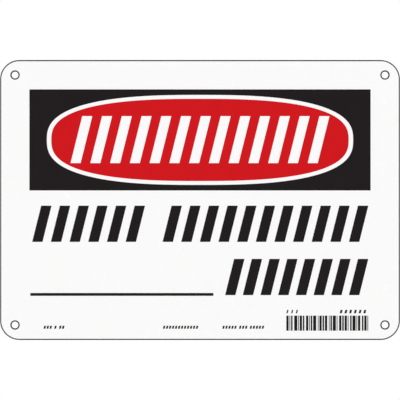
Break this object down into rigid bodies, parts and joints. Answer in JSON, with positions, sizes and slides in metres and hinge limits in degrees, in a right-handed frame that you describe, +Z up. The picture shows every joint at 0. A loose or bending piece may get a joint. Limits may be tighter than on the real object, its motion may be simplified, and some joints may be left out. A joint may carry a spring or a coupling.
{
  "type": "safety sign",
  "caption": "Flat rectangular safety sign plate with round corners, a rolled front edge and a screw hole near each corner.",
  "frame": {"origin": "centre of the four screw holes, on the back face, which lies against the wall", "axes": "+X across the sign to the right as its face is read, +Z up the sign, and the printed face looks towards -Y"},
  "size_m": [0.254, 0.001, 0.1778],
  "materials": {
    "coated_sheet": "white baked enamel on the face, dark grey sealed edges and a bare rolled back",
    "red_ink": "satin screen ink, a film printed on the face in the looks alone",
    "black_ink": "satin screen ink, a film printed on the face in the looks alone"
  },
  "bodies": {
    "root": {"sign_plate": "coated_sheet"}
  },
  "joints": []
}
